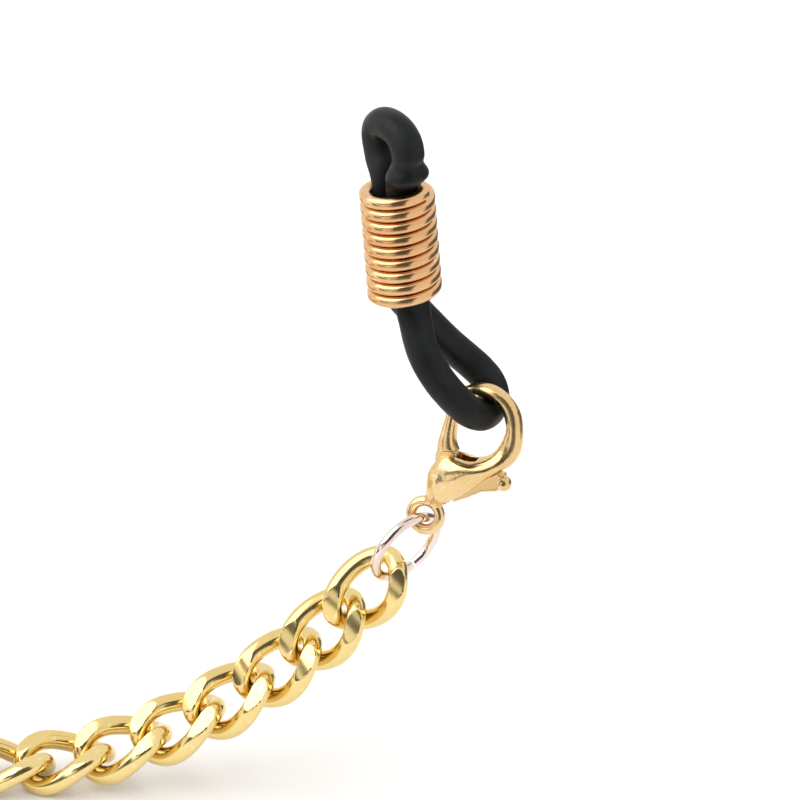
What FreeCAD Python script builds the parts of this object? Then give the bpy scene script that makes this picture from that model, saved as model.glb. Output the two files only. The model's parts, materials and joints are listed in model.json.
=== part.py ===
import FreeCAD, Part
import math
import os

# A spectacles strap: a curb chain with a rubber temple loop at each end.
# End A hangs from a spectacles temple: its rubber loop is the part's root, and the temple
# passes through the origin. From the coil below the temple the loop leans to its lobster
# clasp, a jump ring joins the clasp to the chain, and the chain falls in a catenary to the
# table. The rest of the chain runs along the table and is wound into a flat coil, with the
# same clasp and loop of end B lying in its middle. Millimetres, +Z up.

V = FreeCAD.Vector
X_AXIS, Y_AXIS, Z_AXIS = V(1, 0, 0), V(0, 1, 0), V(0, 0, 1)

os.makedirs("parts", exist_ok=True)
doc = FreeCAD.newDocument("spectacles_chain")

# ---------------------------------------------------------------- driving dimensions
SIZES = {
    # rubber temple loop: a moulded ring of soft round cord
    "cord_radius": 0.875,
    "cord_fold": 1.12,              # half depth of the fold that the coil crowds upwards
    "cord_squeezed_half": 0.59,     # half width of one strand inside the coil
    "cord_squeezed_deep": 1.02,     # its half depth there
    "cord_strand_offset": 0.645,    # strand centre from the coil's axis
    "temple_gap_half": 1.50,        # strand centre from the loop's middle, at the temple
    "temple_turn": 32.0,            # degrees that the loop's plane is turned about its axis
    # adjuster coil: close-wound round wire that grips both strands
    "coil_wire": 0.67,
    "coil_pitch": 0.705,
    "coil_turns": 8.9,
    "coil_start": 114.0,            # degrees about the axis to the lowest turn's cut end
    "coil_mean_radius": 1.675,
    "coil_top": -1.86,              # top of the coil below the temple's centre
    "coil_tilt": 4.2,               # degrees that the coil's axis leans from the vertical
    # lobster clasp, 10 mm long
    "eye_radius": 0.80,
    "eye_wire_radius": 0.29,
    "slot_width": 0.90,             # the lever's slot in the body
    "lever_tongue": 0.80,           # the lever's thickness in that slot
    "lever_hub_radius": 0.56,
    "lever_tab_radius": 0.44,
    "pivot_x": 0.10,
    "pivot_z": 2.75,
    "pin_radius": 0.25,
    "pin_front": 0.80,              # reach of the pin in front of the clasp's middle
    "pin_back": 1.06,
    "pin_hole_front": 0.83,         # the blind end of its hole
    "lever_bore_radius": 0.29,
    "spring_width": 0.60,
    "spring_leaf": 0.10,
    "clasp_lean": 25.0,             # degrees between the clasp's length and the vertical
    "clasp_turn": 22.0,             # degrees turned about its own length
    # jump ring, about 4.6 mm outside, cut open
    "ring_radius": 2.04,
    "ring_wire_radius": 0.28,
    "ring_arc": 356.5,
    # curb link: round wire bent to an oval, twisted and faceted on both faces
    "link_wire_radius": 0.53,
    "link_half_length": 2.26,
    "link_half_width": 1.44,
    "link_squareness": 2.5,
    "link_twist": 48.0,
    "link_half_thick": 0.99,
    "link_pitch": 3.30,
    "link_count": 200,
    # how the chain lies
    "catenary_size": 20.7,
    "touchdown_x": -21.65,
    "table_z": -37.95,
    "first_link_s": 23.7,           # length of chain from touchdown to the first link
    "first_roll": 18.0,
    "roll_step": 9.5,
    "run_length": 42.0,
    "wind_radius": 35.0,
    "wind_spacing": 4.45,
}
sheet = doc.addObject("Spreadsheet::Sheet", "Sizes")
for row, (alias, value) in enumerate(SIZES.items(), start=1):
    sheet.set(f"A{row}", alias)
    sheet.set(f"B{row}", str(value))
    sheet.setAlias(f"B{row}", alias)
doc.recompute()


def size(alias):
    """The value of a cell of the sheet."""
    return float(sheet.get(alias))


def bind(thing, **cells):
    """Bind an object's properties to expressions of the sheet's cells."""
    for prop, expression in cells.items():
        thing.setExpression(prop, expression)


nodes = []


def node(thing, name):
    """Give an object its node's name and keep it for export."""
    thing.Label = name
    nodes.append(thing)
    return thing


def feature(name, shape, placement=None):
    """A plain feature with a shape worked out below."""
    made = doc.addObject("Part::Feature", name)
    made.Shape = shape
    if placement is not None:
        made.Placement = placement
    return made


def unit(vector):
    made = V(vector)
    made.normalize()
    return made


def frame(x, z, at):
    """Placement whose local X and Z lie along x and z, with its origin at a point."""
    x, z = unit(x), unit(z)
    y = z.cross(x)
    matrix = FreeCAD.Matrix(
        x.x, y.x, z.x, at.x,
        x.y, y.y, z.y, at.y,
        x.z, y.z, z.z, at.z,
        0, 0, 0, 1,
    )
    return FreeCAD.Placement(matrix)


def closed_tube(points, across, half_wide, half_deep, around=8):
    """A smooth closed ring of oval section along points. across is the direction, at each
    point, in which the section is half_deep; it is half_wide square to that."""
    count = len(points)
    # a cubic B-spline's circle is smaller than its poles' circle by this factor
    shrink = (2 + math.cos(2 * math.pi / around)) / 3
    poles = []
    for i, point in enumerate(points):
        along = unit(points[(i + 1) % count] - points[i - 1])
        deep = unit(across[i] - along * across[i].dot(along))
        wide = along.cross(deep)
        turn = [2 * math.pi * k / around for k in range(around)]
        poles.append([
            point + wide * (half_wide[i] / shrink * math.cos(a))
            + deep * (half_deep[i] / shrink * math.sin(a)) for a in turn
        ])
    surface = Part.BSplineSurface()
    surface.buildFromPolesMultsKnots(
        poles, [1] * (count + 1), [1] * (around + 1),
        list(range(count + 1)), list(range(around + 1)), True, True, 3, 3,
    )
    solid = Part.Solid(Part.Shell([surface.toShape()]))
    if solid.Volume < 0:
        solid.reverse()
    return solid


# ---------------------------------------------------------------- rubber temple loop
def loop_shape():
    """The moulded cord ring, about the coil's axis, with the temple's centre at z = 0.

    Each station is (x, y, z, half width, half depth). The front strand comes first, from the
    crown down through the coil to the bend that holds the clasp, then the back strand.
    """
    turn = math.radians(size("temple_turn"))
    side = V(math.sin(turn), -math.cos(turn), 0)       # from the axis to the front strand
    gap, offset = size("temple_gap_half"), size("cord_strand_offset")
    full = size("cord_radius")
    thin, deep = size("cord_squeezed_half"), size("cord_squeezed_deep")

    def strand(sign):
        """One strand's stations from the crown to the foot of the coil."""
        fold = size("cord_fold") if sign > 0 else full
        spread = [
            (0.55 * gap, 1.05, full, full), (0.90 * gap, 0.68, full, full),
            (gap, 0.05, full, full), (0.96 * gap, -0.50, 0.82, 0.84),
            (0.86 * gap, -1.05, 0.92, fold), (0.58 * gap, -1.55, 0.82, 0.98),
            (offset, -2.1, thin, deep), (offset, -4.0, thin, deep),
            (offset, -5.5, thin, deep), (offset, -7.0, thin, deep),
            (offset, -8.2, thin, deep),
        ]
        return [(*(side * (sign * out)), z, w, d) for out, z, w, d in spread]

    crown = [(0, 0, 0, 1.17, full, full)]
    front_bow = [
        (0.35, -0.56, -9.05, 0.64, 1.00), (0.47, -0.78, -9.85, 0.80, 0.90),
        (0.54, -1.00, -10.6, full, full), (0.74, -1.22, -11.5, full, full),
        (1.14, -1.35, -12.5, full, full), (1.76, -1.37, -13.6, full, full),
        (2.42, -1.26, -14.55, full, full), (3.00, -1.00, -15.3, full, full),
    ]
    bend = [(3.52, -0.52, -15.78, full, full), (3.88, 0.20, -15.96, full, full)]
    back_bow = [
        (4.10, 0.90, -15.90, full, full), (4.22, 1.36, -15.42, full, full),
        (4.03, 1.62, -14.80, full, full), (3.50, 1.70, -14.06, full, full),
        (2.76, 1.62, -13.22, full, full), (2.02, 1.46, -12.34, full, full),
        (1.40, 1.27, -11.45, full, full), (0.92, 1.08, -10.70, full, full),
        (0.50, 0.88, -10.05, full, full), (0.14, 0.71, -9.50, 0.80, 0.92),
        (-0.16, 0.60, -8.92, 0.66, 0.98),
    ]

    def flat(rows):
        return [(V(row[0], row[1], row[-3]), row[-2], row[-1]) for row in rows]

    stations = (
        flat(crown) + flat(strand(1)) + flat(front_bow) + flat(bend) + flat(back_bow)
        + flat(reversed(strand(-1)))
    )
    points = [s[0] for s in stations]
    normal = V(math.cos(turn), math.sin(turn), 0)
    return closed_tube(
        points, [normal] * len(points), [s[1] for s in stations], [s[2] for s in stations]
    )


def cord_loop(end, placement):
    return node(feature("cord_loop", loop_shape(), placement), f"cord_loop_{end}")


# ---------------------------------------------------------------- adjuster coil
def adjuster_coil(end, placement):
    """Close-wound wire; the lowest turn starts at the back and climbs right-handed."""
    spine = doc.addObject("Part::Helix", "coil_spine")
    bind(spine, Pitch="Sizes.coil_pitch", Height="Sizes.coil_pitch * Sizes.coil_turns",
         Radius="Sizes.coil_mean_radius")
    wire = doc.addObject("Part::Circle", "coil_section")
    bind(wire, Radius="Sizes.coil_wire / 2")
    wire.Placement = FreeCAD.Placement(
        V(size("coil_mean_radius"), 0, 0), FreeCAD.Rotation(X_AXIS, 90)
    )
    coil = doc.addObject("Part::Sweep", "adjuster_coil")
    coil.Sections = [wire]
    coil.Spine = spine
    coil.Solid = True
    coil.Frenet = True
    length = size("coil_pitch") * size("coil_turns")
    foot = size("coil_top") - size("coil_wire") / 2 - length
    coil.Placement = placement * FreeCAD.Placement(
        V(0, 0, foot), FreeCAD.Rotation(Z_AXIS, size("coil_start"))
    )
    return node(coil, f"adjuster_coil_{end}")


# ---------------------------------------------------------------- lobster clasp
# In its own frame the clasp stands in the XZ plane with its eye's centre at the origin, its
# hook at the top and its thickness along Y.

# stations of the clasp's arm from the neck to the hook's tip: x and z of the inner edge, x and
# z of the outer edge, half thickness
ARM = [
    (-0.40, 0.72, 0.40, 0.72, 0.36), (-0.60, 1.28, 0.84, 1.40, 0.72),
    (-0.88, 2.05, 1.24, 1.98, 1.00), (-1.01, 2.80, 1.62, 2.60, 1.14),
    (-0.86, 3.50, 1.84, 3.08, 1.16), (-0.40, 3.96, 2.06, 3.58, 1.10),
    (0.32, 4.10, 2.28, 4.05, 1.00), (1.00, 4.44, 2.54, 4.52, 0.86),
    (1.48, 4.92, 2.76, 4.98, 0.74), (1.72, 5.60, 2.91, 5.58, 0.62),
    (1.71, 6.49, 2.65, 6.81, 0.54), (1.32, 7.24, 1.92, 7.92, 0.49),
    (0.49, 7.69, 0.61, 8.51, 0.46), (-0.36, 7.56, -0.72, 8.24, 0.44),
    (-0.95, 6.97, -1.53, 7.45, 0.43),
]
# the space that the lever turns in, cut right through the arm's mid-plane
SLOT = [
    (-1.9, 2.62), (-0.62, 2.02), (0.15, 1.62), (1.25, 0.72), (3.4, 1.9), (3.4, 4.90),
    (2.70, 4.88), (2.28, 4.62), (1.96, 4.14), (1.66, 3.52), (1.36, 3.06), (0.98, 3.42),
    (1.15, 4.9), (-1.9, 4.9),
]
# the lever's flat tongue: gate root, hub, tail and the foot of its thumb tab
TONGUE = [
    (-1.02, 4.25), (-1.02, 3.50), (-0.62, 2.72), (-0.40, 2.34), (0.30, 2.18), (1.05, 1.64),
    (1.64, 2.34), (2.12, 3.02), (2.84, 3.52), (2.76, 4.42), (2.40, 4.44), (2.08, 4.00),
    (1.76, 3.40), (1.40, 2.86), (0.66, 3.12), (0.30, 3.42), (0.02, 4.05),
]
# the gate above the body: x and z of the outer edge, x and z of the inner edge, half thickness
GATE = [
    (-1.14, 3.70, -0.02, 4.30, 0.50), (-1.26, 4.12, -0.24, 4.46, 0.52),
    (-1.36, 4.62, -0.46, 4.78, 0.52), (-1.46, 5.20, -0.68, 5.30, 0.50),
    (-1.62, 5.90, -0.94, 6.02, 0.47), (-1.78, 6.56, -1.16, 6.66, 0.43),
]
TAB_CENTRE = (2.88, 3.97)
# three points of the spring's lower face, from its foot to its end under the lever's tail
SPRING = [(0.24, 1.74), (0.52, 1.66), (0.76, 1.40)]
SPRING_UP = V(0.62, 0.78, 0)    # from that face towards the tail, in the spring's sketch
DRILL_REACH = 2.0               # from the clasp's middle plane to clear of the clasp
OVAL_POINTS = 12


def oval_loft(stations):
    """Loft through upright ovals, each given by the two ends of its axis in the XZ plane
    and its half thickness along Y."""
    sections = []
    for x1, z1, x2, z2, thick in stations:
        centre = V(x1 + x2, 0, z1 + z2) / 2
        out = V(x2 - x1, 0, z2 - z1) / 2
        angles = [2 * math.pi * i / OVAL_POINTS for i in range(OVAL_POINTS)]
        points = [centre + out * math.cos(a) + Y_AXIS * (thick * math.sin(a)) for a in angles]
        oval = Part.BSplineCurve()
        oval.interpolate(Points=points, PeriodicFlag=True)
        sections.append(Part.Wire([oval.toShape()]))
    return Part.makeLoft(sections, True, False)


def prism(outline, width):
    """Upright prism of an outline in the XZ plane, centred on y = 0."""
    wire = Part.makePolygon([V(x, -width / 2, z) for x, z in outline + outline[:1]])
    return Part.Face(wire).extrude(Y_AXIS * width)


def clasp_body(end, placement):
    arm = feature("clasp_arm", oval_loft(ARM))
    eye = doc.addObject("Part::Torus", "clasp_eye")
    bind(eye, Radius1="Sizes.eye_radius", Radius2="Sizes.eye_wire_radius")
    eye.Placement = FreeCAD.Placement(V(), FreeCAD.Rotation(X_AXIS, 90))
    blank = doc.addObject("Part::MultiFuse", "clasp_blank")
    blank.Shapes = [arm, eye]
    slot = feature("clasp_slot", prism(SLOT, size("slot_width")))
    hole = doc.addObject("Part::Cylinder", "clasp_pin_hole")
    bind(hole, Radius="Sizes.pin_radius", Height=f"Sizes.pin_hole_front + {DRILL_REACH}")
    hole.Placement = FreeCAD.Placement(
        V(size("pivot_x"), DRILL_REACH, size("pivot_z")), FreeCAD.Rotation(X_AXIS, 90)
    )
    tools = doc.addObject("Part::MultiFuse", "clasp_cuts")
    tools.Shapes = [slot, hole]
    body = doc.addObject("Part::Cut", "clasp_body")
    body.Base = blank
    body.Tool = tools
    body.Placement = placement
    return node(body, f"clasp_body_{end}")


def clasp_lever(end, placement):
    """Gate, hub, tail and thumb tab in one piece, which turns on the pin."""
    tongue = feature("lever_tongue", prism(TONGUE, size("lever_tongue")))
    gate = feature("lever_gate", oval_loft(GATE))
    hub = doc.addObject("Part::Cylinder", "lever_hub")
    bind(hub, Radius="Sizes.lever_hub_radius", Height="Sizes.lever_tongue")
    hub.Placement = FreeCAD.Placement(
        V(size("pivot_x"), size("lever_tongue") / 2, size("pivot_z")),
        FreeCAD.Rotation(X_AXIS, 90),
    )
    tab = doc.addObject("Part::Sphere", "lever_tab")
    bind(tab, Radius="Sizes.lever_tab_radius")
    tab.Placement.Base = V(TAB_CENTRE[0], 0, TAB_CENTRE[1])
    blank = doc.addObject("Part::MultiFuse", "lever_blank")
    blank.Shapes = [tongue, gate, hub, tab]
    bore = doc.addObject("Part::Cylinder", "lever_bore")
    bind(bore, Radius="Sizes.lever_bore_radius")
    bore.Height = 2 * DRILL_REACH
    bore.Placement = FreeCAD.Placement(
        V(size("pivot_x"), DRILL_REACH, size("pivot_z")), FreeCAD.Rotation(X_AXIS, 90)
    )
    lever = doc.addObject("Part::Cut", "clasp_lever")
    lever.Base = blank
    lever.Tool = bore
    lever.Placement = placement
    return node(lever, f"clasp_lever_{end}")


def clasp_pin(end, placement):
    pin = doc.addObject("Part::Cylinder", "clasp_pin")
    bind(pin, Radius="Sizes.pin_radius", Height="Sizes.pin_front + Sizes.pin_back")
    pin.Placement = placement * FreeCAD.Placement(
        V(size("pivot_x"), size("pin_back"), size("pivot_z")), FreeCAD.Rotation(X_AXIS, 90)
    )
    return node(pin, f"clasp_pin_{end}")


def clasp_spring(end, placement):
    """Bowed leaf between the floor of the slot and the lever's tail, which shuts the gate."""
    body = doc.addObject("PartDesign::Body", "clasp_spring")
    plane = next(f for f in body.Origin.OriginFeatures if f.Role == "XZ_Plane")
    sketch = body.newObject("Sketcher::SketchObject", "spring_outline")
    sketch.AttachmentSupport = [(plane, "")]
    sketch.MapMode = "FlatFace"
    low = [V(x, z, 0) for x, z in SPRING]
    high = [point + SPRING_UP * size("spring_leaf") for point in low]
    sketch.addGeometry(Part.Arc(*low), False)
    sketch.addGeometry(Part.LineSegment(low[2], high[2]), False)
    sketch.addGeometry(Part.Arc(*reversed(high)), False)
    sketch.addGeometry(Part.LineSegment(high[0], low[0]), False)
    pad = body.newObject("PartDesign::Pad", "spring_pad")
    pad.Profile = sketch
    pad.Midplane = True
    bind(pad, Length="Sizes.spring_width")
    body.Placement = placement
    return node(body, f"clasp_spring_{end}")


def clasp(end, placement):
    clasp_body(end, placement)
    clasp_lever(end, placement)
    clasp_pin(end, placement)
    clasp_spring(end, placement)


# ---------------------------------------------------------------- jump ring
def jump_ring(end, placement):
    ring = doc.addObject("Part::Torus", "jump_ring")
    bind(ring, Radius1="Sizes.ring_radius", Radius2="Sizes.ring_wire_radius",
         Angle3="Sizes.ring_arc")
    ring.Placement = placement
    return node(ring, f"jump_ring_{end}")


# ---------------------------------------------------------------- curb link
LINK_STATIONS = 20


def link_shape():
    """Oval of round wire, twisted about its length, with both faces cut flat."""
    half, wide = size("link_half_length"), size("link_half_width")
    power = 2 / size("link_squareness")
    twist = -math.radians(size("link_twist")) / half
    points, across = [], []
    for i in range(LINK_STATIONS):
        angle = 2 * math.pi * (i + 0.5) / LINK_STATIONS
        c, s = math.cos(angle), math.sin(angle)
        x = half * math.copysign(abs(c) ** power, c)
        y = wide * math.copysign(abs(s) ** power, s)
        turn = twist * x
        points.append(V(x, y * math.cos(turn), y * math.sin(turn)))
        across.append(V(0, -math.sin(turn), math.cos(turn)))
    radius = [size("link_wire_radius")] * LINK_STATIONS
    ring = closed_tube(points, across, radius, radius)
    thick = size("link_half_thick")
    reach = half + size("link_wire_radius")
    slab = Part.makeBox(2 * reach, 2 * reach, 2 * thick, V(-reach, -reach, -thick))
    return ring.common(slab).Solids[0]


def hanging_link(s):
    """Placement of a link s millimetres of chain above the touchdown, or along the table."""
    a = size("catenary_size")
    flat_z = size("table_z") + size("link_half_thick")
    x = size("touchdown_x") + (a * math.asinh(s / a) if s > 0 else s)
    z = flat_z + (math.hypot(a, s) - a if s > 0 else 0)
    slope = math.atan2(s, a) if s > 0 else 0.0
    along = V(math.cos(slope), 0, math.sin(slope))
    upper = V(-math.sin(slope), 0, math.cos(slope))
    done = (size("first_link_s") - s) / size("link_pitch")
    roll = math.radians(min(90.0, size("first_roll") + size("roll_step") * done))
    facing = Y_AXIS * -math.cos(roll) + upper * math.sin(roll)
    return frame(along, facing, V(x, 0, z))


INWARD_LINKS = 4        # the last links turn in from the winding towards its middle
INWARD_BEND = 11.0
LAST_RISE = [0.10, 0.38, 0.76, 1.14]    # and climb to the height of the clasp
LAST_SLOPE = 0.10       # the climb of the chain's line at the last link


def link_placements():
    """All links from end A to end B, and the direction of travel at the last one."""
    pitch, total = size("link_pitch"), int(size("link_count"))
    places = []
    s = size("first_link_s")
    while s > -size("run_length"):
        places.append(hanging_link(s))
        s -= pitch
    # winding: clockwise seen from above, from its outer turn to its inner one
    flat_z = size("table_z") + size("link_half_thick")
    centre = V(size("touchdown_x") - size("run_length"), size("wind_radius"), flat_z)
    growth = size("wind_spacing") / (2 * math.pi)
    turned = (-size("run_length") - s) / size("wind_radius")
    spots = []
    while len(places) + len(spots) < total - INWARD_LINKS:
        radius = size("wind_radius") - growth * turned
        angle = -math.pi / 2 - turned
        spots.append(centre + V(math.cos(angle), math.sin(angle), 0) * radius)
        turned += pitch / (radius - growth * pitch / radius / 2)
    heading = math.atan2(spots[-1].y - spots[-2].y, spots[-1].x - spots[-2].x)
    for rise in LAST_RISE:
        heading -= math.radians(INWARD_BEND)
        climb = flat_z + rise - spots[-1].z
        level = math.sqrt(pitch ** 2 - climb ** 2)
        spots.append(spots[-1] + V(level * math.cos(heading), level * math.sin(heading), climb))
    heading -= math.radians(INWARD_BEND / 2)
    beyond = spots[-1] + V(math.cos(heading), math.sin(heading), LAST_SLOPE) * pitch
    path = [places[-1].Base] + spots + [beyond]
    for before, here, after in zip(path, path[1:], path[2:]):
        along = unit(before - after)
        places.append(frame(along, unit(Z_AXIS - along * along.z), here))
    return places, heading


# ---------------------------------------------------------------- where everything goes
HINGED_LINKS = 12       # links that hang, each a body of its own
GROUPS = [("chain_run", 21), ("chain_coil_1", 85), ("chain_coil_2", 145), ("chain_coil_3", 200)]

EYE_A = V(1.72, 0, -21.60)      # centre of clasp A's eye

leant = FreeCAD.Placement(EYE_A, FreeCAD.Rotation(Y_AXIS, size("clasp_lean")))
CLASP_A = leant * FreeCAD.Placement(V(), FreeCAD.Rotation(Z_AXIS, -size("clasp_turn")))
LOOP_A = FreeCAD.Placement(V(), FreeCAD.Rotation(Y_AXIS, -size("coil_tilt")))

links, last_heading = link_placements()


def ring_place(eye, tip):
    """The jump ring's place between the eye's wire and the first link's end."""
    pull = unit(tip - eye)
    wire = eye + pull * size("eye_radius")
    inner = size("ring_radius") - size("ring_wire_radius")
    span = (tip - wire).Length
    slack = inner - (span + size("eye_wire_radius") + size("link_wire_radius")) / 2
    centre = wire + pull * (inner - size("eye_wire_radius") - slack)
    # the ring's plane holds the pull and a line half-way between across and away
    across = unit(V(-pull.z, 0, pull.x) + Y_AXIS)
    cut = across * 0.8 + pull * 0.6
    return frame(cut, pull.cross(across), centre)


first = links[0]
TIP_A = first.multVec(V(size("link_half_length"), 0, 0))
RING_A = ring_place(EYE_A, TIP_A)

# end B is end A laid on its front, with its first link's end where the chain ends
last = links[-1]
TIP_B = last.multVec(V(-size("link_half_length"), 0, 0))
first_slope = math.atan2(size("first_link_s"), size("catenary_size"))
laid = FreeCAD.Rotation(Z_AXIS, math.degrees(last_heading + first_slope)) * FreeCAD.Rotation(
    X_AXIS, 90
)
END_B = FreeCAD.Placement(TIP_B - laid.multVec(TIP_A), laid)


def build():
    for end, whole in (("a", FreeCAD.Placement()), ("b", END_B)):
        cord_loop(end, whole * LOOP_A)
        adjuster_coil(end, whole * LOOP_A)
        clasp(end, whole * CLASP_A)
        jump_ring(end, whole * RING_A)
    pattern = link_shape()
    for i, place in enumerate(links[:HINGED_LINKS], start=1):
        node(feature("chain_link", pattern.copy(), place), f"chain_link_{i:02d}")
    start = HINGED_LINKS
    for name, stop in GROUPS:
        copies = []
        for place in links[start:stop]:
            copy = pattern.copy()
            copy.Placement = place
            copies.append(copy)
        node(feature("chain_links", Part.makeCompound(copies)), name)
        start = stop


def check_and_export():
    doc.recompute()
    for thing in doc.Objects:
        if {"Invalid", "Error"} & set(thing.State):
            raise RuntimeError(f"{thing.Label}: {thing.State}")
    for thing in nodes:
        if thing.Shape.isNull() or not thing.Shape.isValid():
            raise RuntimeError(f"{thing.Label} has no valid shape")
    for thing in nodes:
        thing.Shape.exportStep(f"parts/{thing.Label}.step")


build()
check_and_export()
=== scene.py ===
import json
import math

import bpy
import numpy as np
from mathutils import Matrix, Vector


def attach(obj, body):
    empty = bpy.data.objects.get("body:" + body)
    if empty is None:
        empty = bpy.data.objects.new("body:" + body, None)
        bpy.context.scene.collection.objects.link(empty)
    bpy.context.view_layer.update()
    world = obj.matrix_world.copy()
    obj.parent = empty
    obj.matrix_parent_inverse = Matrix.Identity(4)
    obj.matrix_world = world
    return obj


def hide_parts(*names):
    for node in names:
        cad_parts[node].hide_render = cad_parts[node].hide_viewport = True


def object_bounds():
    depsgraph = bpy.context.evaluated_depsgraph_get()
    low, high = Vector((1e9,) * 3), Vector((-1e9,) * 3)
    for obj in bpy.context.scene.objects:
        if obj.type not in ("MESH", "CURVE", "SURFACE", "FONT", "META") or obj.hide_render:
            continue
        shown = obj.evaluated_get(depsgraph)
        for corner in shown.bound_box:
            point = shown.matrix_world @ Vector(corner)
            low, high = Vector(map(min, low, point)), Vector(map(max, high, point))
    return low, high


# The spectacles strap's looks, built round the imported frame. Lengths are metres.
MM = 0.001

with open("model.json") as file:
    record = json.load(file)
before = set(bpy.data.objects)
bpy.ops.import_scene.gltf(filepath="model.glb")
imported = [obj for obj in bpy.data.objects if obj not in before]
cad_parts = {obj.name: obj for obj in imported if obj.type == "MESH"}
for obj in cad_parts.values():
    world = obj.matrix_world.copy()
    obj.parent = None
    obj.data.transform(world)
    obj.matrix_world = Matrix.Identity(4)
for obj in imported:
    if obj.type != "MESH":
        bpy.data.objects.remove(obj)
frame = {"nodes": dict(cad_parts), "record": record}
nodes = frame["nodes"]
cad_low, cad_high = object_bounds()
TABLE_Z = cad_low.z
NODE_BODY = {
    node: body
    for body, members in frame["record"]["behaviour"]["bodies"].items()
    for node in members
}


def add_object(name, data):
    """A new object in the scene, round its mesh, light or camera."""
    made = bpy.data.objects.new(name, data)
    bpy.context.scene.collection.objects.link(made)
    return made


# ---------------------------------------------------------------- camera
ELEVATION = math.radians(27.0)
LENS = 300.0
SENSOR = 36.0
VIEW_WIDTH = 42.1 * MM
AIM = Vector((0.36, 0.0, -14.75)) * MM


def make_camera():
    """A long lens in front of the object, looking down on it by ELEVATION."""
    data = bpy.data.cameras.new("camera")
    data.lens = LENS
    data.sensor_width = SENSOR
    data.clip_start = 0.01
    data.clip_end = 20.0
    camera = add_object("camera", data)
    back = Vector((0, -math.cos(ELEVATION), math.sin(ELEVATION)))
    camera.location = AIM + back * (VIEW_WIDTH * LENS / SENSOR)
    camera.rotation_euler = (-back).to_track_quat("-Z", "Y").to_euler()
    bpy.context.scene.camera = camera


# ---------------------------------------------------------------- material helpers
class Nodes:
    """Short names for building one material's node tree."""

    def __init__(self, name):
        self.material = bpy.data.materials.new(name)
        self.material.use_nodes = True
        self.tree = self.material.node_tree
        self.tree.nodes.clear()
        self.shader = self.tree.nodes.new("ShaderNodeBsdfPrincipled")
        output = self.tree.nodes.new("ShaderNodeOutputMaterial")
        self.link(self.shader.outputs[0], output.inputs[0])
        self.place = self.tree.nodes.new("ShaderNodeTexCoord").outputs["Object"]

    def link(self, source, target):
        self.tree.links.new(source, target)

    def drive(self, name, source):
        """Joins a varying value to the shader's socket of that name."""
        self.link(source, self.shader.inputs[name])

    def set(self, **values):
        """Constant values on the shader's own sockets; an underscore stands for a space."""
        for name, value in values.items():
            self.shader.inputs[name.replace("_", " ")].default_value = value

    def noise(self, scale, detail=3.0, roughness=0.5, stretch=None):
        """Noise over the object's own coordinates; scale is in cycles per metre."""
        place = self.place
        if stretch:
            mapping = self.tree.nodes.new("ShaderNodeMapping")
            mapping.inputs["Scale"].default_value = stretch
            self.link(place, mapping.inputs[0])
            place = mapping.outputs[0]
        texture = self.tree.nodes.new("ShaderNodeTexNoise")
        texture.inputs["Scale"].default_value = scale
        texture.inputs["Detail"].default_value = detail
        texture.inputs["Roughness"].default_value = roughness
        self.link(place, texture.inputs["Vector"])
        return texture.outputs[0]

    def ramp(self, source, stops):
        """Colours or greys by a 0 to 1 value: stops are (position, colour) or (position, (grey,))."""
        ramp = self.tree.nodes.new("ShaderNodeValToRGB")
        elements = ramp.color_ramp.elements
        while len(elements) < len(stops):
            elements.new(0.5)
        for element, (position, colour) in zip(elements, stops):
            element.position = position
            element.color = (*colour, 1) if len(colour) == 3 else (colour[0],) * 3 + (1,)
        self.link(source, ramp.inputs[0])
        return ramp.outputs[0]

    def mix(self, factor, first, second):
        """First and second mixed; each value is a socket or a constant."""
        mix = self.tree.nodes.new("ShaderNodeMix")
        mix.data_type = "RGBA"
        for index, source in ((0, factor), (6, first), (7, second)):
            if isinstance(source, bpy.types.NodeSocket):
                self.link(source, mix.inputs[index])
            else:
                mix.inputs[index].default_value = source
        return mix.outputs[2]

    def bump(self, height, strength, distance):
        """Roughens the surface by a 0 to 1 height."""
        bump = self.tree.nodes.new("ShaderNodeBump")
        bump.inputs["Strength"].default_value = strength
        bump.inputs["Distance"].default_value = distance
        self.link(height, bump.inputs["Height"])
        self.drive("Normal", bump.outputs[0])

    def edge_wear(self):
        """1 on raised edges, 0 elsewhere."""
        geometry = self.tree.nodes.new("ShaderNodeNewGeometry")
        return self.ramp(geometry.outputs["Pointiness"], [(0.52, (0,)), (0.60, (1,))])


def plated_metal(name, colour, deep, worn, gloss, ripple, scratch=0.0):
    """Polished plating: its colour goes deeper in patches and paler where edges wear. Gloss is
    its middle roughness, ripple its bumps' strength and scratch the share of fine lines."""
    made = Nodes(name)
    cloud = made.noise(220.0, detail=4.0)
    tone = made.ramp(cloud, [(0.30, deep), (0.62, colour)])
    tone = made.mix(made.edge_wear(), tone, (*worn, 1))
    made.drive("Base Color", tone)
    smudge = made.noise(520.0, detail=5.0, roughness=0.6)
    rough = made.ramp(smudge, [(0.25, (gloss * 0.7,)), (0.75, (gloss * 1.5,))])
    made.drive("Roughness", rough)
    made.set(Metallic=1.0)
    height = made.noise(900.0, detail=2.0)
    if scratch:
        lines = made.noise(2600.0, detail=2.0, stretch=(1.0, 0.12, 0.35))
        height = made.mix(scratch, height, lines)
    made.bump(height, ripple, 0.02 * MM)
    return made.material


def silicone(name):
    """Matt black moulded cord, greyer in patches, with a finely rough skin."""
    made = Nodes(name)
    cloud = made.noise(420.0, detail=5.0, roughness=0.6)
    tone = made.ramp(cloud, [(0.35, (0.0030, 0.0036, 0.0040)), (0.70, (0.0118, 0.0132, 0.0146))])
    made.drive("Base Color", tone)
    rough = made.ramp(made.noise(700.0, detail=4.0), [(0.3, (0.36,)), (0.7, (0.60,))])
    made.drive("Roughness", rough)
    made.set(IOR=1.43, Specular_IOR_Level=0.26)
    made.bump(made.noise(5200.0, detail=4.0, roughness=0.65), 0.22, 0.012 * MM)
    return made.material


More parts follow.
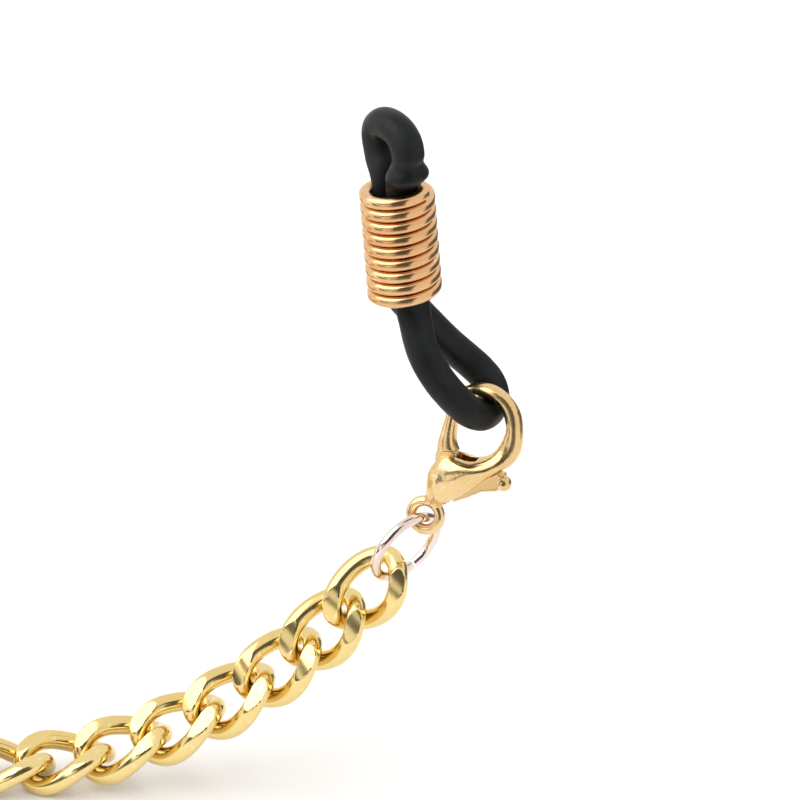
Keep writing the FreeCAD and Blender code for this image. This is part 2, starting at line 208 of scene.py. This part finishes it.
def steel(name, grey, gloss):
    """Plain steel, a little uneven in tone, with fine drawing lines."""
    made = Nodes(name)
    tone = made.ramp(made.noise(700.0), [(0.3, (grey * 0.85,)), (0.7, (grey,))])
    made.drive("Base Color", tone)
    lines = made.noise(3000.0, stretch=(0.1, 1.0, 1.0))
    made.drive("Roughness", made.ramp(lines, [(0.3, (gloss,)), (0.7, (gloss * 1.5,))]))
    made.set(Metallic=1.0)
    made.bump(lines, 0.1, 0.01 * MM)
    return made.material


def make_materials():
    """Each material slot of the record and its material."""
    return {
        "gold_curb_link": plated_metal(
            "link_gold",
            colour=(0.86, 0.67, 0.29), deep=(0.80, 0.58, 0.22), worn=(0.89, 0.73, 0.38),
            gloss=0.15, ripple=0.12, scratch=0.4,
        ),
        "pale_gold_casting": plated_metal(
            "clasp_gold",
            colour=(0.83, 0.61, 0.31), deep=(0.76, 0.51, 0.23), worn=(0.88, 0.70, 0.42),
            gloss=0.19, ripple=0.12,
        ),
        "copper_gold_wire": plated_metal(
            "coil_gold",
            colour=(0.80, 0.51, 0.26), deep=(0.69, 0.38, 0.18), worn=(0.85, 0.61, 0.37),
            gloss=0.18, ripple=0.12, scratch=0.5,
        ),
        "rose_silver_wire": plated_metal(
            "ring_rose",
            colour=(0.84, 0.71, 0.66), deep=(0.78, 0.61, 0.55), worn=(0.88, 0.78, 0.74),
            gloss=0.08, ripple=0.08,
        ),
        "black_silicone": silicone("silicone_black"),
        "steel_pin": steel("pin_steel", grey=0.62, gloss=0.22),
        "spring_steel": steel("spring_steel", grey=0.50, gloss=0.25),
    }


# ---------------------------------------------------------------- mesh helpers
WELD_GRID = 0.2e-6           # metres; corners that round to the same step are one


def arrays(mesh):
    """A mesh's corner positions and its triangles."""
    mesh.calc_loop_triangles()
    points = np.empty(len(mesh.vertices) * 3)
    mesh.vertices.foreach_get("co", points)
    triangles = np.empty(len(mesh.loop_triangles) * 3, int)
    mesh.loop_triangles.foreach_get("vertices", triangles)
    return points.reshape(-1, 3), triangles.reshape(-1, 3)


def weld(points, triangles):
    """Joins corners at the same place."""
    keys = np.round(points / WELD_GRID).astype(np.int64)
    _, first, joined = np.unique(keys, axis=0, return_index=True, return_inverse=True)
    triangles = joined.reshape(-1)[triangles]
    kept = (
        (triangles[:, 0] != triangles[:, 1])
        & (triangles[:, 1] != triangles[:, 2])
        & (triangles[:, 0] != triangles[:, 2])
    )
    return points[first], triangles[kept]


def islands(points, triangles):
    """Splits a welded mesh's triangles into those of its separate solids."""
    label = np.arange(len(points))
    while True:
        low = label[triangles].min(1)
        before = label.copy()
        for corner in range(3):
            np.minimum.at(label, triangles[:, corner], low)
        label = label[label]
        if (label == before).all():
            break
    owner = label[triangles[:, 0]]
    return [triangles[owner == k] for k in np.unique(owner)]


def new_mesh(name, points, faces, sharp_angle=None):
    """A smooth mesh, with its edges sharp from that angle in degrees up."""
    mesh = bpy.data.meshes.new(name)
    mesh.from_pydata([tuple(p) for p in points], [], [tuple(int(i) for i in f) for f in faces])
    mesh.update()
    mesh.shade_smooth()
    if sharp_angle is not None:
        mesh.set_sharp_from_angle(angle=math.radians(sharp_angle))
    return mesh


def tube_faces(stations, around, closed):
    """The quads between a tube's rings of corners. A closed tube's last ring meets its first."""
    faces = []
    for i in range(stations if closed else stations - 1):
        here, ahead = i * around, (i + 1) % stations * around
        for k in range(around):
            n = (k + 1) % around
            faces.append((here + k, ahead + k, ahead + n, here + n))
    return faces


def show(name, mesh, node, lie=None):
    """Puts a piece in place of a CAD node, on that node's body. A mesh that isn't made where
    the node is needs its lie, a matrix."""
    piece = add_object(name, mesh)
    if lie is not None:
        piece.matrix_world = lie
    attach(piece, NODE_BODY[node])
    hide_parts(node)


def smooth_copy(node, sharp_angle):
    """The CAD node's own surface, welded, so that it shades as one smooth skin."""
    points, triangles = weld(*arrays(nodes[node].data))
    return new_mesh(node + "_skin", points, triangles, sharp_angle)


CAST_VOXEL = 0.035 * MM
CAST_PASSES = 10             # smoothing passes, which set how round the edges become


def cast_copy(node):
    """The CAD node's surface with its edges and inner corners rounded, as on a casting."""
    points, triangles = weld(*arrays(nodes[node].data))
    piece = add_object(node + "_cast", new_mesh(node + "_cast", points, triangles))
    remesh = piece.modifiers.new("remesh", "REMESH")
    remesh.mode = "VOXEL"
    remesh.voxel_size = CAST_VOXEL
    remesh.use_smooth_shade = True
    smooth = piece.modifiers.new("smooth", "SMOOTH")
    smooth.factor = 0.5
    smooth.iterations = CAST_PASSES
    shaped = bpy.data.meshes.new_from_object(
        piece.evaluated_get(bpy.context.evaluated_depsgraph_get())
    )
    bpy.data.objects.remove(piece)
    shaped.shade_smooth()
    return shaped


# ---------------------------------------------------------------- curb links
LINK_HALF_LENGTH = 2.26 * MM
LINK_HALF_WIDTH = 1.44 * MM
LINK_SQUARENESS = 2.5
LINK_TWIST = math.radians(48.0)
LINK_WIRE_RADIUS = 0.53 * MM
LINK_HALF_THICK = 0.99 * MM
FACET_X = 1.45 * MM          # middle of each ground facet, from the link's centre
FACET_ROUND = 4.0 * MM       # radius to which a facet is ground along the link
OVAL_SAMPLES = 4001          # for measuring along the link's oval
NEAR_LINK = (180, 44)        # stations along the wire, corners around it
FAR_LINK = (72, 20)


def oval(angle):
    """The wire's centre line before the twist, x along the link and y across it."""
    power = 2 / LINK_SQUARENESS
    c, s = np.cos(angle), np.sin(angle)
    x = LINK_HALF_LENGTH * np.sign(c) * np.abs(c) ** power
    y = LINK_HALF_WIDTH * np.sign(s) * np.abs(s) ** power
    return x, y


def link_mesh(name, along, around, material):
    """A round-wire oval twisted about its length, with both faces ground nearly flat."""
    fine = np.linspace(0, 2 * math.pi, OVAL_SAMPLES)
    x, y = oval(fine)
    reach = np.concatenate([[0], np.cumsum(np.hypot(np.diff(x), np.diff(y)))])
    # the stations are evenly spaced round the oval
    even = np.interp(np.linspace(0, reach[-1], along, endpoint=False), reach, fine)
    x, y = oval(even)
    turn = -LINK_TWIST * x / LINK_HALF_LENGTH
    centre = np.stack([x, y * np.cos(turn), y * np.sin(turn)], 1)
    deep = np.stack([0 * turn, -np.sin(turn), np.cos(turn)], 1)
    run = np.roll(centre, -1, 0) - np.roll(centre, 1, 0)
    run /= np.linalg.norm(run, axis=1)[:, None]
    deep -= run * (deep * run).sum(1)[:, None]
    deep /= np.linalg.norm(deep, axis=1)[:, None]
    wide = np.cross(run, deep)
    angle = np.linspace(0, 2 * math.pi, around, endpoint=False)
    ring = (
        centre[:, None]
        + wide[:, None] * (np.cos(angle)[None, :, None] * LINK_WIRE_RADIUS)
        + deep[:, None] * (np.sin(angle)[None, :, None] * LINK_WIRE_RADIUS)
    )
    points = ring.reshape(-1, 3)
    top = LINK_HALF_THICK - (np.abs(points[:, 0]) - FACET_X) ** 2 / (2 * FACET_ROUND)
    points[:, 2] = np.clip(points[:, 2], -top, top)
    mesh = new_mesh(name, points, tube_faces(along, around, closed=True), sharp_angle=28)
    mesh.materials.append(material)
    return mesh


def lie_of(points, triangles):
    """Where a link lies: its centre, and its long, cross and thin axes, from its surface."""
    corner = points[triangles]
    area = np.linalg.norm(
        np.cross(corner[:, 1] - corner[:, 0], corner[:, 2] - corner[:, 0]), axis=1
    ) / 2
    middle = corner.mean(1)
    centre = (middle * area[:, None]).sum(0) / area.sum()
    spread = middle - centre
    _, axes = np.linalg.eigh((spread * area[:, None]).T @ spread)
    long, thin = axes[:, 2], axes[:, 0]
    cross = np.cross(thin, long)
    matrix = Matrix.Identity(4)
    for row in range(3):
        matrix[row][0], matrix[row][1], matrix[row][2] = long[row], cross[row], thin[row]
        matrix[row][3] = centre[row]
    return matrix


def make_links(material):
    """A wire link in the place of each CAD link. The links that have a node each are finer."""
    near = link_mesh("link_near", *NEAR_LINK, material)
    far = link_mesh("link_far", *FAR_LINK, material)
    for node in sorted(n for n in nodes if n.startswith("chain_")):
        points, triangles = weld(*arrays(nodes[node].data))
        links = islands(points, triangles)
        if len(links) == 1:
            show(node + "_wire", near, node, lie_of(points, links[0]))
            continue
        for i, link in enumerate(links, start=1):
            lie = lie_of(points, link)
            show(f"{node}_wire_{i:02d}", far, node, lie)


# ---------------------------------------------------------------- the other pieces
COIL_WIRE_RADIUS = 0.335 * MM
COIL_RADIUS = 1.675 * MM     # of the wire's centre line
COIL_PITCH = 0.705 * MM
COIL_TURNS = 8.9
COIL_CUT = 0.3               # turns that the upper end is cut shorter than the CAD coil's
COIL_PRESSED = 0.06 * MM     # the wire's outer side is a little flat to this depth
COIL_STEPS = 110             # stations in a turn
COIL_AROUND = 28             # corners round the wire
COIL_TIP = 0.04 * MM         # each cut end stands so far out of the wire, and its edge is
COIL_TIP_SIZE = 0.80         # rounded down to this share of the wire's radius
COIL_CREST = 0.002 * MM      # the CAD coil's outermost corners are the ones within this depth
COIL_LEVEL_FROM = (0.3, 1.0, 0.2)   # any direction that no coil's axis runs along


def coil_lie(end):
    """The CAD coil's corners, its axis towards the temple, the two directions across that
    axis, and the coil's middle along those two."""
    joints = frame["record"]["behaviour"]["joints"]
    slide = next(j for j in joints if j["name"] == f"coil_slide_{end}")
    axis = np.array(slide["axis"]) / np.linalg.norm(slide["axis"])
    level = np.cross(axis, COIL_LEVEL_FROM)
    level /= np.linalg.norm(level)
    across = np.stack([level, np.cross(axis, level)])
    points, _ = weld(*arrays(nodes[f"adjuster_coil_{end}"].data))
    flat = points @ across.T
    return points, axis, across, (flat.min(0) + flat.max(0)) / 2


def coil_mesh(node, end):
    """Close-wound wire, pressed a little flat outside, laid along the CAD coil's helix."""
    points, axis, across, middle = coil_lie(end)
    out = points @ across.T - middle
    reach = np.linalg.norm(out, axis=1)
    crest = reach > reach.max() - COIL_CREST
    high = (points @ axis)[crest]
    lag = np.arctan2(out[crest, 1], out[crest, 0]) - 2 * math.pi * high / COIL_PITCH
    start = math.atan2(np.sin(lag).mean(), np.cos(lag).mean())
    length = COIL_PITCH * COIL_TURNS
    foot = (high.min() + high.max() - length) / 2

    # stations: the share of the CAD coil's length, the wire's size, and -1 or 1 at a tip
    steps = int(COIL_TURNS * COIL_STEPS)
    stop = 1 - COIL_CUT / COIL_TURNS
    stations = [(0.0, COIL_TIP_SIZE, -1)]
    stations += [(stop * i / steps, 1.0, 0) for i in range(steps + 1)]
    stations += [(stop, COIL_TIP_SIZE, 1)]

    angle = np.linspace(0, 2 * math.pi, COIL_AROUND, endpoint=False)
    rings = []
    for share, thick, tip in stations:
        height = foot + share * length
        turn = start + 2 * math.pi * height / COIL_PITCH
        radial = COIL_WIRE_RADIUS * thick * np.cos(angle)
        upright = COIL_WIRE_RADIUS * thick * np.sin(angle)
        depth = (radial - COIL_WIRE_RADIUS + COIL_PRESSED) / COIL_PRESSED
        pressed = radial - COIL_PRESSED * depth ** 2 / 2
        radial = np.where(depth > 0, pressed, radial)
        way = math.cos(turn) * across[0] + math.sin(turn) * across[1]
        ahead = -math.sin(turn) * across[0] + math.cos(turn) * across[1]
        centre = middle @ across + height * axis + tip * COIL_TIP * ahead
        rings.append(
            centre + (COIL_RADIUS + radial)[:, None] * way + upright[:, None] * axis
        )
    faces = [(a, d, c, b) for a, b, c, d in tube_faces(len(rings), COIL_AROUND, closed=False)]
    cap = range(COIL_AROUND)
    faces.append(tuple(cap)[::-1])
    faces.append(tuple((len(rings) - 1) * COIL_AROUND + k for k in cap))
    return new_mesh(node + "_wire", np.concatenate(rings), faces, sharp_angle=35)


# the front strand's swelling over the coil and the dent above it, in millimetres: height over
# the coil's top, spread, and how far out
CORD_FOLDS = [(0.62, 0.32, 0.16), (1.36, 0.26, -0.11)]
CORD_SHARP = 60                     # degrees, from which the cord's edges stay sharp
STRAND_TURN = math.radians(32)      # the loop's plane is turned so far about the coil's axis


def cord_mesh(node, end):
    """The moulded cord, its front strand crowded up into a fold over the coil."""
    mesh = smooth_copy(node, CORD_SHARP)
    points, triangles = arrays(mesh)
    coil, axis, across, middle = coil_lie(end)
    normals = np.empty(len(points) * 3)
    mesh.vertices.foreach_get("normal", normals)
    normals = normals.reshape(-1, 3)
    out = points @ across.T - middle
    # the bow below the coil hangs off the axis, and the front strand's side is found from that
    bow = out[points @ axis < (coil @ axis).min()].mean(0)
    bow /= np.linalg.norm(bow)
    square = np.array([bow[1], -bow[0]])
    front = math.cos(STRAND_TURN) * square + math.sin(STRAND_TURN) * bow
    out /= np.linalg.norm(out, axis=1)[:, None]
    facing = np.clip((normals * (out @ across)).sum(1), 0, 1)
    facing *= np.clip(2 * (out @ front), 0, 1)
    height = points @ axis - (coil @ axis).max()
    for at, spread, swell in CORD_FOLDS:
        amount = swell * MM * np.exp(-(((height / MM - at) / spread) ** 2))
        points = points + normals * (amount * facing)[:, None]
    return new_mesh(node + "_folded", points, triangles, CORD_SHARP)


def make_ends(materials):
    """The rubber loop, the coil, the clasp's four pieces and the jump ring of both ends."""
    slots = {s["node"]: s["material_slot"] for s in frame["record"]["subparts"]}
    for end in "ab":
        for kind, build in (
            ("cord_loop", lambda node: cord_mesh(node, end)),
            ("adjuster_coil", lambda node: coil_mesh(node, end)),
            ("clasp_body", cast_copy),
            ("clasp_lever", cast_copy),
            ("clasp_pin", lambda node: smooth_copy(node, sharp_angle=40)),
            ("clasp_spring", lambda node: smooth_copy(node, sharp_angle=40)),
            ("jump_ring", lambda node: smooth_copy(node, sharp_angle=50)),
        ):
            node = f"{kind}_{end}"
            mesh = build(node)
            mesh.materials.append(materials[slots[node]])
            show(node + "_piece", mesh, node)


# ---------------------------------------------------------------- stage
FLOOR_REACH = 6.0            # metres
FLOOR_GAP = 0.02 * MM        # between the chain and the floor
STAGE_REACH = 0.40           # metres from the aim to the light and the camera's flag
WALL_REACH = 62 * MM
WALL_PANELS = 16
FLAG_SHADE = 0.10


def rectangle(name, width, height, z=0.0):
    """A flat level rectangle about its own origin."""
    w, h = width / 2, height / 2
    mesh = bpy.data.meshes.new(name)
    mesh.from_pydata([(-w, -h, z), (w, -h, z), (w, h, z), (-w, h, z)], [], [(0, 1, 2, 3)])
    return mesh


def make_floor():
    """The pale table that the chain lies on."""
    mesh = rectangle("floor", 2 * FLOOR_REACH, 2 * FLOOR_REACH, TABLE_Z - FLOOR_GAP)
    floor = add_object("floor", mesh)
    made = Nodes("floor_white")
    made.set(Base_Color=(0.86, 0.855, 0.85, 1), Roughness=0.8)
    mesh.materials.append(made.material)


def seen_from(azimuth, height):
    """A place round the object, both in degrees: azimuth 0 is the camera's side and 90 its
    right, and height is over the level."""
    a, e = math.radians(azimuth), math.radians(height)
    away = Vector((math.sin(a) * math.cos(e), -math.cos(a) * math.cos(e), math.sin(e)))
    return AIM + away * STAGE_REACH


def facing_aim(at, side):
    """The turn that points that side of a thing at the object."""
    return (AIM - at).to_track_quat(side, "Y").to_euler()


def make_flag(name, mesh, shade=FLAG_SHADE):
    """A dark studio flag that neither shows itself nor shades, but that metal mirrors."""
    made = Nodes(name)
    made.set(Base_Color=(shade, shade, shade, 1), Roughness=0.9, Specular_IOR_Level=0.0)
    mesh.materials.append(made.material)
    flag = add_object(name, mesh)
    flag.visible_camera = False
    flag.visible_shadow = False
    flag.visible_diffuse = False
    return flag


def make_card(name, at, width, height):
    """A flat flag that faces the object."""
    card = make_flag(name, rectangle(name, width, height))
    card.location = at
    card.rotation_euler = facing_aim(at, "Z")


def make_wall(name, turns, tops, foot=TABLE_Z, shade=FLAG_SHADE):
    """A curved flag round the object. It stands between two azimuths in degrees, and its top
    goes evenly from one height to another."""
    points = []
    for i in range(WALL_PANELS + 1):
        part = i / WALL_PANELS
        angle = math.radians(turns[0] + (turns[1] - turns[0]) * part)
        x, y = WALL_REACH * math.sin(angle), -WALL_REACH * math.cos(angle)
        points += [(x, y, foot), (x, y, tops[0] + (tops[1] - tops[0]) * part)]
    faces = [(2 * i, 2 * i + 2, 2 * i + 3, 2 * i + 1) for i in range(WALL_PANELS)]
    mesh = bpy.data.meshes.new(name)
    mesh.from_pydata(points, [], faces)
    make_flag(name, mesh, shade)


def make_light(name, at, width, height, power):
    """A white soft light that faces the object."""
    data = bpy.data.lights.new(name, "AREA")
    data.shape = "RECTANGLE"
    data.size, data.size_y = width, height
    data.energy = power
    light = add_object(name, data)
    light.location = at
    light.rotation_euler = facing_aim(at, "-Z")


def make_world():
    """The white surround, and colours shown as they are."""
    world = bpy.data.worlds.new("studio")
    world.use_nodes = True
    background = world.node_tree.nodes["Background"]
    background.inputs["Color"].default_value = (1.0, 0.995, 0.985, 1)
    background.inputs["Strength"].default_value = 1.0
    bpy.context.scene.world = world
    bpy.context.scene.view_settings.view_transform = "Standard"


make_camera()
materials = make_materials()
make_links(materials["gold_curb_link"])
make_ends(materials)
make_floor()
make_world()
make_card("camera_flag", seen_from(4, 22), width=0.34, height=0.46)
make_wall("front_flag", (-18, 26), (-5 * MM, -5 * MM))
make_wall("left_flag", (-45, -18), (-36 * MM, -28 * MM))
make_wall("far_left_flag", (-78, -45), (-12 * MM, -35 * MM))
make_wall("coil_flag", (-58, -18), (-3 * MM, -3 * MM), foot=-18 * MM)
make_wall("right_flag", (88, 150), (-2 * MM, -2 * MM), shade=0.12)
make_light("key", seen_from(-70, 42), width=0.50, height=0.42, power=1.25)
